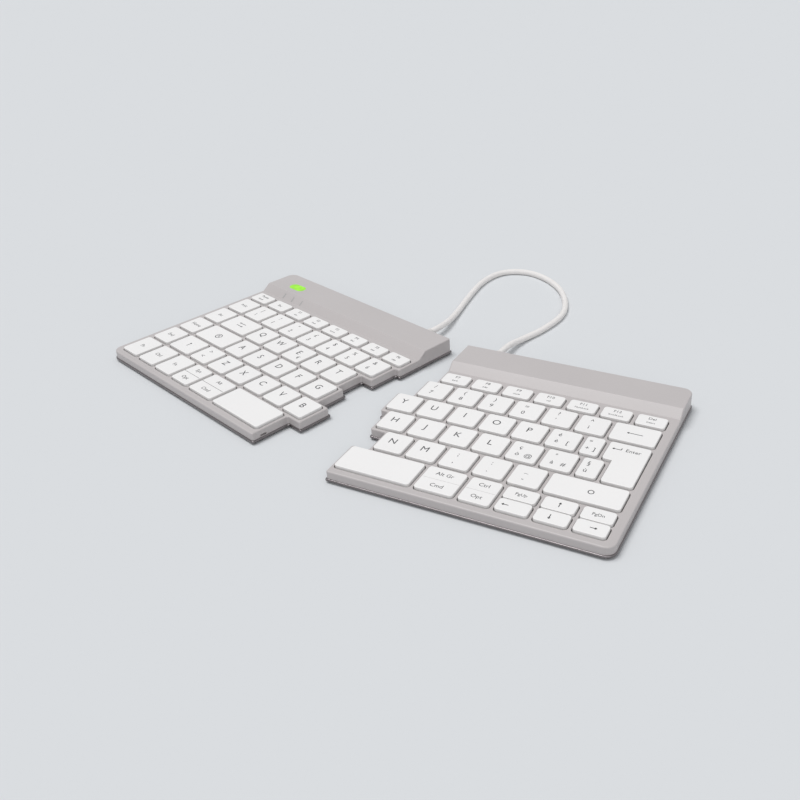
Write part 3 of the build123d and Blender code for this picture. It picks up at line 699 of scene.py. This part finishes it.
# Every key with its row, left edge, width and legend, under the name of its body. A legend is a
# letter or the name of a drawing, or a kind and its words: see Printer.key
LEFT_KEYS = {
    "left_side_column_keys": [
        ("space", -PITCH, CAP_WIDTH, "small:Fn"), ("shift", -PITCH, CAP_WIDTH, "small:End"),
        ("home", -PITCH, CAP_WIDTH, "small:Home"), ("top", -PITCH, CAP_WIDTH, "small:Ins"),
        ("number", -PITCH, CAP_WIDTH, "tiny:PrtSc"),
        ("function", -PITCH, CAP_WIDTH, "duo:Pause/Break"),
    ],
    "left_escape_key": [("function", 0.5, CAP_WIDTH, "tiny:Esc")],
    "left_function_keys": row_keys(
        "function", 20.0,
        ["duo:F1/-lum", "duo:F2/+lum", "duo:F3/home", "duo:F4/find", "duo:F5/kbd", "duo:F6/step"],
        FUNCTION_PITCH,
    ),
    "left_number_keys": row_keys(
        "number", 0.0,
        ["pair:\\|", "pair:1!", "pair:2\"", "pair:3£", "pair:4$", "pair:5%", "pair:6&"],
    ),
    "left_tab_key": wide("top", 0, 1.5, "tab"),
    "left_top_letter_keys": row_keys("top", 1.5 * PITCH, ["Q", "W", "mark:E€", "R", "T"]),
    "left_caps_key": wide("home", 0, 1.75, "lock:A"),
    "left_home_letter_keys": row_keys("home", 1.75 * PITCH, list("ASDFG")),
    "left_shift_key": wide("shift", 0, 1.25, "shift"),
    "left_low_letter_keys": row_keys("shift", 1.25 * PITCH, ["pair:<>", *"ZXCVB"]),
    "left_control_key": wide("space", 0, 1, "small:Ctrl"),
    "left_layer_key": wide("space", 1, 1, "small:Fn"),
    "left_system_key": wide("space", 2, 1, "split:Sys/Opt"),
    "left_alt_key": wide("space", 3, 1.3, "split:Alt/Cmd"),
    "left_space_key": wide("space", 4.3, 2.4, ""),
}
RIGHT_KEYS = {
    "right_function_keys": row_keys(
        "function", 141.25 - KEY_GAP,
        ["duo:F7/back", "duo:F8/play", "duo:F9/mute", "duo:F10/vol", "duo:F11/NumLock",
         "duo:F12/ScrollLock"],
        FUNCTION_PITCH,
    ),
    "right_delete_key": [("function", 255.55, CAP_WIDTH, "duo:Del/Insert")],
    "right_number_keys": row_keys(
        "number", 7 * PITCH, ["pair:7/", "pair:8(", "pair:9)", "pair:0=", "pair:'?", "pair:ì^"]
    ),
    "right_backspace_key": wide("number", 13, 1.45, "long_arrow"),
    "right_top_letter_keys": row_keys("top", 6.5 * PITCH, [*"YUIOP", "trio:èé["])
    + wide("top", 12.5, 0.66, "trio:+*]"),
    "right_home_letter_keys": row_keys("home", 6.75 * PITCH, [*"HJKL", "trio:òç@", "trio:à°#"])
    + wide("home", 12.75, 0.7, "pair:ù§"),
    "right_low_letter_keys": row_keys(
        "shift", 7.25 * PITCH, [*"NM", "pair:,;", "pair:.:", "pair:-_"]
    ),
    "right_shift_key": wide("shift", 12.25, 2.2, "ring"),
    "right_space_key": wide("space", 6.72, 2.41, ""),
    "right_alt_key": wide("space", 9.13, 1.26, "split:Alt Gr/Cmd"),
    "right_control_key": wide("space", 10.39, 1.01, "split:Ctrl/Opt"),
    "right_page_up_key": wide("far", 11.4, 1.03, "tiny:PgUp"),
    "right_left_arrow_key": wide("near", 11.4, 1.03, "arrow:180/-4.2"),
    "right_up_arrow_key": wide("far", 12.43, 1.03, "arrow:90/0"),
    "right_down_arrow_key": wide("near", 12.43, 1.03, "arrow:270/-1.2"),
    "right_page_down_key": wide("far", 13.46, 0.99, "tiny:PgDn"),
    "right_right_arrow_key": wide("near", 13.46, 0.99, "arrow:0/0.9"),
    "right_enter_key": [("top", 250.04, 21.81, "enter:Enter")],
}


class KEYBOARD_OT_slot_shade(Operator):
    """Set a thin near-black piece behind the slot in the left half's inner side, as painted shade that darkens the slot
    """

    bl_idname = "keyboard.shield"
    bl_label = "Slot shield"

    def execute(self, context):
        middle, height, half_length, half_height, corner = SLOT_SHADE
        outline = []
        for quarter, (side, up) in enumerate(((1, 1), (-1, 1), (-1, -1), (1, -1))):
            for step in range(SLOT_SHADE_STEPS + 1):
                angle = math.radians(90 * quarter + 90 * step / SLOT_SHADE_STEPS)
                outline.append((
                    middle + side * (half_length - corner) + corner * math.cos(angle),
                    height + up * (half_height - corner) + corner * math.sin(angle),
                ))
        body = bmesh.new()
        rings = [[body.verts.new((depth, y, z)) for y, z in outline] for depth in SLOT_SHADE_FACES]
        body.faces.new(rings[1])
        body.faces.new(list(reversed(rings[0])))
        for step in range(len(outline)):
            other = (step + 1) % len(outline)
            body.faces.new((rings[0][step], rings[0][other], rings[1][other], rings[1][step]))
        mesh = bpy.data.meshes.new("side_slot_shield")
        body.to_mesh(mesh)
        body.free()
        mesh.transform(half_matrix("left") @ Matrix.Scale(MM, 4))
        piece = bpy.data.objects.new(mesh.name, mesh)
        context.collection.objects.link(piece)
        # Near-black finish: painted shade inside the side slot
        mesh.materials.append(moulded("shield_plastic", (0.02, 0.02, 0.021), 0.6))
        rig.ride(piece, "left_half")
        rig.slot(piece, "switch_black")
        return {"FINISHED"}


def key_gap(area, place):
    """Distance in millimetres from a point to a key's rectangle."""
    row, start, width = area
    front, depth = ROWS[row]
    across = max(start - place.x, place.x - start - width, 0.0)
    along = max(front - place.y, place.y - front - depth, 0.0)
    return across + along


def share_faces(node, side, groups):
    """Faces of a node that lie under each body's keys, by body name."""
    areas = [(body_name, key[:3]) for body_name, keys in groups.items() for key in keys]
    to_half = Matrix.Scale(1 / MM, 4) @ half_matrix(side).inverted() @ node.matrix_world
    nearest = {}
    shares = {}
    for face in node.data.polygons:
        place = to_half @ face.center
        cell = (round(place.x * SHARE_CELLS), round(place.y * SHARE_CELLS))
        if cell not in nearest:
            nearest[cell] = min(areas, key=lambda area: key_gap(area[1], place))[0]
        shares.setdefault(nearest[cell], []).append(face)
    return shares


def mesh_of_faces(node, name, faces):
    """New welded mesh of some of a node's faces, in the row frame."""
    order = {}
    for face in faces:
        for corner in face.vertices:
            order.setdefault(corner, len(order))
    mesh = bpy.data.meshes.new(name)
    places = [node.matrix_world @ node.data.vertices[corner].co for corner in order]
    mesh.from_pydata(places, [], [[order[corner] for corner in face.vertices] for face in faces])
    body = bmesh.new()
    body.from_mesh(mesh)
    bmesh.ops.remove_doubles(body, verts=body.verts, dist=WELD)
    for face in body.faces:
        face.smooth = True
    body.to_mesh(mesh)
    body.free()
    mesh.set_sharp_from_angle(angle=SHARP_EDGE)
    mesh.materials.append(node.material_slots[0].material)
    return mesh


class KEYBOARD_OT_springs(Operator):
    """Split the domes and scissor frames, so that each body of keys flattens its own"""

    bl_idname = "keyboard.springs"
    bl_label = "Domes and scissors"

    def execute(self, context):
        settings = context.scene.keyboard_springs
        anchor = (0.0, 0.0, settings.floor_height)
        for side, groups in (("left", LEFT_KEYS), ("right", RIGHT_KEYS)):
            for kind in ("domes", "scissors"):
                node = NODES[f"{side}_{kind}"]
                for body_name, faces in share_faces(node, side, groups).items():
                    mesh = mesh_of_faces(node, f"{body_name}_{kind}", faces)
                    piece = bpy.data.objects.new(mesh.name, mesh)
                    context.collection.objects.link(piece)
                    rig.replaces(piece, f"{side}_{kind}")
                    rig.slot(piece, "inner_plastic")
                    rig.ride(piece, f"{side}_half")
                    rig.squash(
                        piece, f"{body_name}_press", axis=(0, 0, 1), anchor=anchor,
                        keep=settings.pressed_share,
                    )
        return {"FINISHED"}


class Printer:
    """Collects the print of one body's keys as one thin mesh, in millimetres of its half."""

    def __init__(self, name, side, settings):
        self.name = name
        self.matrix = half_matrix(side)
        self.settings = settings
        self.ink = settings.ink_depth / MM
        self.body = bmesh.new()

    def bar(self, x, y, length, width, angle=0.0):
        """A thin printed bar that starts at a point and runs at an angle."""
        turn = Matrix.Rotation(angle, 4, "Z")
        corners = [(0, -width / 2), (length, -width / 2), (length, width / 2), (0, width / 2)]
        low = []
        high = []
        for corner in corners:
            place = Vector((x, y, CAP_TOP)) + turn @ Vector((*corner, 0))
            low.append(self.body.verts.new(place))
            high.append(self.body.verts.new(place + Vector((0, 0, self.ink))))
        self.body.faces.new(list(reversed(low)))
        self.body.faces.new(high)
        for step in range(4):
            other = (step + 1) % 4
            self.body.faces.new((low[step], low[other], high[other], high[step]))

    def words(self, text, x, y, height):
        """Text centred on a point, as tall as its capital letters."""
        curve = bpy.data.curves.new("word", "FONT")
        curve.body = text
        curve.size = height / CAPITAL_SHARE
        curve.align_x = "CENTER"
        curve.align_y = "CENTER"
        curve.resolution_u = 3
        curve.extrude = self.ink / 2
        holder = bpy.data.objects.new("word", curve)
        bpy.context.collection.objects.link(holder)
        bpy.context.view_layer.update()
        graph = bpy.context.evaluated_depsgraph_get()
        mesh = bpy.data.meshes.new_from_object(holder.evaluated_get(graph))
        mesh.transform(Matrix.Translation((x, y, CAP_TOP + self.ink / 2)))
        self.body.from_mesh(mesh)
        bpy.data.objects.remove(holder)
        bpy.data.meshes.remove(mesh)

    def arrow(self, x, y, length, degrees):
        """A thin arrow centred on a point."""
        angle = math.radians(degrees)
        width = self.settings.line_width / MM
        reach = Vector((math.cos(angle), math.sin(angle)))
        start = Vector((x, y)) - reach * length / 2
        tip = Vector((x, y)) + reach * length / 2
        self.bar(start.x, start.y, length, width, angle)
        for turn in (ARROW_TURN, -ARROW_TURN):
            self.bar(tip.x, tip.y, min(ARROW_HEAD, length / 3), width, angle + turn)

    def key(self, row, start, width, text):
        """Print one key's legend.

        letter: one letter. mark: a letter and a small mark. pair: lower and upper mark. trio:
        lower, upper and right mark. small and tiny: one word. duo: a word and a smaller one
        below. split: words on both sides of a dividing line. lock and enter: a drawing and one
        word. arrow: its degrees, then millimetres to the right.
        """
        front, depth = ROWS[row]
        x = start + width / 2
        y = front + depth / 2
        tall = self.settings.letter_height / MM
        small = self.settings.small_height / MM
        kind, _, rest = text.partition(":") if len(text) > 1 else ("letter", "", text)
        words = list(rest) if kind in ("letter", "mark", "pair", "trio") else rest.split("/")
        for right, up, length, degrees in ARROWS.get(kind, ()):
            self.arrow(x + right, y + up, length, degrees)
        for right, up, radius in RINGS.get(kind, ()):
            self.ring(x + right, y + up, radius)
        if kind == "enter":
            right, up, length = ENTER_STROKE
            line = self.settings.line_width / MM
            self.bar(x + right, y + up, length, line, math.radians(90))
        elif kind == "arrow":
            degrees, right = (float(word) for word in words)
            self.arrow(x + right, y, ARROW_LENGTH, degrees)
        elif kind == "trio":
            shift = min(TRIO_SHIFT, width / TRIO_SPREAD)
            for number, side, up in TRIO_PLACES:
                self.words(words[number], x + side * shift, y + up, tall * TRIO_SHARE)
        elif kind == "split":
            for word, up in zip(words, (depth / 4, -depth / 4)):
                self.words(word, x, y + up, small)
        for number, right, up, setting, share in WORDS.get(kind, ()):
            height = getattr(self.settings, setting) / MM
            self.words(words[number], x + right, y + up, height * share)

    def ring(self, x, y, radius):
        """A small printed ring made of short bars."""
        for step in range(RING_BARS):
            angle = 2 * math.pi * step / RING_BARS
            place = Vector((x + radius * math.cos(angle), y + radius * math.sin(angle)))
            width = self.settings.line_width / MM
            self.bar(place.x, place.y, radius * RING_BAR_SHARE, width, angle + math.pi / 2)

    def finish(self, made, body_name):
        """Turn the print into a piece that rides on its keys."""
        mesh = bpy.data.meshes.new(self.name)
        self.body.to_mesh(mesh)
        self.body.free()
        mesh.transform(self.matrix @ Matrix.Scale(MM, 4))
        piece = bpy.data.objects.new(self.name, mesh)
        bpy.context.collection.objects.link(piece)
        mesh.materials.clear()
        mesh.materials.append(made)
        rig.ride(piece, body_name)
        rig.slot(piece, "switch_black")


class KEYBOARD_OT_legends(Operator):
    """Print the letters, digits and arrows on the key caps"""

    bl_idname = "keyboard.legends"
    bl_label = "Key legends"

    def execute(self, context):
        settings = context.scene.keyboard_legends
        ink = moulded("legend_ink", context.scene.keyboard_finish.legend_colour, 0.55, mottle=0.08)
        for side, groups in (("left", LEFT_KEYS), ("right", RIGHT_KEYS)):
            for body_name, keys in groups.items():
                if not any(text for *_, text in keys):
                    continue
                printer = Printer(body_name + "_print", side, settings)
                for row, start, width, text in keys:
                    printer.key(row, start, width, text)
                printer.finish(ink, body_name)
        return {"FINISHED"}


def divider_tree(made):
    """Geometry Nodes tree that sets one thin bar on every point it is given."""
    tree = bpy.data.node_groups.new("divider_lines", "GeometryNodeTree")
    tree.interface.new_socket("Geometry", in_out="INPUT", socket_type="NodeSocketGeometry")
    for label in ("Length", "Width", "Depth"):
        tree.interface.new_socket(label, in_out="INPUT", socket_type="NodeSocketFloat")
    tree.interface.new_socket("Geometry", in_out="OUTPUT", socket_type="NodeSocketGeometry")
    source = tree.nodes.new("NodeGroupInput")
    result = tree.nodes.new("NodeGroupOutput")
    size = tree.nodes.new("ShaderNodeCombineXYZ")
    bar = tree.nodes.new("GeometryNodeMeshCube")
    spread = tree.nodes.new("GeometryNodeInstanceOnPoints")
    real = tree.nodes.new("GeometryNodeRealizeInstances")
    finish = tree.nodes.new("GeometryNodeSetMaterial")
    finish.inputs["Material"].default_value = made
    for place, label in enumerate(("Length", "Width", "Depth")):
        tree.links.new(source.outputs[label], size.inputs[place])
    tree.links.new(size.outputs[0], bar.inputs["Size"])
    tree.links.new(source.outputs["Geometry"], spread.inputs["Points"])
    tree.links.new(bar.outputs["Mesh"], spread.inputs["Instance"])
    tree.links.new(spread.outputs[0], real.inputs[0])
    tree.links.new(real.outputs[0], finish.inputs["Geometry"])
    tree.links.new(finish.outputs[0], result.inputs[0])
    return tree


class KEYBOARD_OT_dividers(Operator):
    """Print the thin lines across the keys with two legends"""

    bl_idname = "keyboard.dividers"
    bl_label = "Dividing lines"

    def execute(self, context):
        # One print in two tones: painted shade darkens the left half's lines, painted light makes the right's paler
        trees = {
            side: divider_tree(moulded(f"{side}_divider_ink", tone, 0.55))
            for side, tone in DIVIDER_LIT_TONES.items()
        }
        split_keys = [
            (side, body_name, *key[:3])
            for side, groups in (("left", LEFT_KEYS), ("right", RIGHT_KEYS))
            for body_name, keys in groups.items()
            for key in keys
            if key[3].startswith("split:")
        ]
        for side, body_name, row, start, width in split_keys:
            front, depth = ROWS[row]
            tree = trees[side]
            items = tree.interface.items_tree
            sockets = {item.name: item.identifier for item in items if item.in_out == "INPUT"}
            mesh = bpy.data.meshes.new(body_name + "_line")
            middle = (start + width / 2, front + depth / 2, CAP_TOP + DIVIDER_DEPTH / 2)
            mesh.from_pydata([middle], [], [])
            points = bpy.data.objects.new(body_name + "_line_points", mesh)
            context.collection.objects.link(points)
            modifier = points.modifiers.new("lines", "NODES")
            modifier.node_group = tree
            modifier[sockets["Length"]] = width - DIVIDER_SHORTER
            modifier[sockets["Width"]] = DIVIDER_WIDTHS[side]
            modifier[sockets["Depth"]] = DIVIDER_DEPTH
            context.view_layer.update()
            graph = context.evaluated_depsgraph_get()
            made = bpy.data.meshes.new_from_object(points.evaluated_get(graph))
            bpy.data.objects.remove(points)
            made.transform(half_matrix(side) @ Matrix.Scale(MM, 4))
            piece = bpy.data.objects.new(body_name + "_divider", made)
            context.collection.objects.link(piece)
            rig.ride(piece, body_name)
            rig.slot(piece, "case_grey")
        return {"FINISHED"}


def lay_floor(collection, colour):
    """Plain floor far beyond the picture."""
    mesh = bpy.data.meshes.new("desk_floor")
    ends = (-FLOOR_REACH, FLOOR_REACH)
    corners = [(across, along, 0) for along in ends for across in ends]
    mesh.from_pydata(corners, [], [(0, 1, 3, 2)])
    floor = bpy.data.objects.new("desk_floor", mesh)
    collection.objects.link(floor)
    paint = material("floor_paint")
    _, shader, _ = start_tree(paint)
    shader.inputs["Base Color"].default_value = rgba(colour)
    shader.inputs["Roughness"].default_value = 1.0
    shader.inputs["Specular IOR Level"].default_value = 0.0
    mesh.materials.append(paint)
    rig.stage(floor)


def hang_lamps(collection, strength):
    """Wide soft suns from the side and from above."""
    for name, azimuth, height, spread, share in LAMPS:
        data = bpy.data.lights.new(name, "SUN")
        data.angle = math.radians(spread)
        data.energy = strength * share
        lamp = bpy.data.objects.new(name, data)
        flat = math.cos(math.radians(height))
        towards = Vector((
            flat * math.sin(math.radians(azimuth)),
            -flat * math.cos(math.radians(azimuth)),
            math.sin(math.radians(height)),
        ))
        lamp.location = towards * LAMP_DISTANCE
        lamp.rotation_euler = towards.to_track_quat("Z", "Y").to_euler()
        collection.objects.link(lamp)


def soft_room(colour):
    """World of soft light that shows the floor's colour to the camera and in reflections."""
    world = bpy.data.worlds.new("soft_room")
    world.use_nodes = True
    tree = world.node_tree
    tree.nodes.clear()
    root = Shade(tree, None)
    tone, strength = ROOM_LIGHT
    soft = root.node("ShaderNodeBackground", None, {"Color": rgba(tone), "Strength": strength})
    plain = root.node("ShaderNodeBackground", None, {"Color": rgba(colour), "Strength": 1.0})
    rays = tree.nodes.new("ShaderNodeLightPath")
    direct = Shade(tree, rays.outputs["Is Camera Ray"])
    mirrored = Shade(tree, rays.outputs["Is Glossy Ray"])
    seen = root.maths("MAXIMUM", direct, mirrored)
    mixed = root.node("ShaderNodeMixShader", None, {0: seen, 1: soft, 2: plain})
    output = tree.nodes.new("ShaderNodeOutputWorld")
    tree.links.new(mixed.socket, output.inputs["Surface"])
    return world


def set_camera(collection):
    """Camera at the photograph's angle, distance and lens."""
    data = bpy.data.cameras.new("view_camera")
    camera = bpy.data.objects.new("view_camera", data)
    collection.objects.link(camera)
    turned = Matrix((CAMERA_RIGHT, -CAMERA_DOWN, -CAMERA_FORWARD)).transposed().to_4x4()
    camera.matrix_world = Matrix.Translation(CAMERA_EYE) @ turned
    data.sensor_width = SENSOR_WIDTH
    data.lens = FOCAL_PIXELS / PICTURE_PIXELS * SENSOR_WIDTH
    data.shift_x = -(CENTRE_PIXEL - PICTURE_PIXELS / 2) / PICTURE_PIXELS
    data.clip_start = 0.01
    data.dof.use_dof = False
    return camera


class KEYBOARD_OT_stage(Operator):
    """Set the floor, the soft lights and the camera"""

    bl_idname = "keyboard.stage"
    bl_label = "Stage"

    def execute(self, context):
        settings = context.scene.keyboard_stage
        lay_floor(context.collection, settings.floor_colour)
        hang_lamps(context.collection, settings.lamp_power)
        context.scene.world = soft_room(settings.floor_colour)
        context.scene.camera = set_camera(context.collection)
        context.scene.view_settings.view_transform = "Standard"
        return {"FINISHED"}


class KEYBOARD_PT_panel(Panel):
    """Lists the steps that build the keyboard"""

    bl_label = "Split keyboard"
    bl_idname = "KEYBOARD_PT_panel"
    bl_space_type = "VIEW_3D"
    bl_region_type = "UI"
    bl_category = "Keyboard"

    def draw(self, context):
        for step in STEPS:
            self.layout.operator(step.bl_idname)


SETTINGS = {
    "keyboard_finish": FinishSettings,
    "keyboard_springs": SpringSettings,
    "keyboard_legends": LegendSettings,
    "keyboard_cable": CableSettings,
    "keyboard_stage": StageSettings,
}
STEPS = (
    KEYBOARD_OT_stage,
    KEYBOARD_OT_finishes,
    KEYBOARD_OT_cable,
    KEYBOARD_OT_springs,
    KEYBOARD_OT_slot_shade,
    KEYBOARD_OT_legends,
    KEYBOARD_OT_dividers,
)


def register():
    for made in (*SETTINGS.values(), *STEPS, KEYBOARD_PT_panel):
        bpy.utils.register_class(made)
    for name, made in SETTINGS.items():
        setattr(bpy.types.Scene, name, PointerProperty(type=made))


def unregister():
    for name in SETTINGS:
        delattr(bpy.types.Scene, name)
    for made in (KEYBOARD_PT_panel, *reversed(STEPS), *SETTINGS.values()):
        bpy.utils.unregister_class(made)


def main():
    register()
    for step in STEPS:
        area, _, name = step.bl_idname.partition(".")
        getattr(getattr(bpy.ops, area), name)()
    box = [[float(value) for value in corner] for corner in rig.bounds()]
    with open("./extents.json", "w") as file:
        json.dump({"cad": CAD_BOX, "visual": box}, file)


if __name__ == "__main__":
    main()
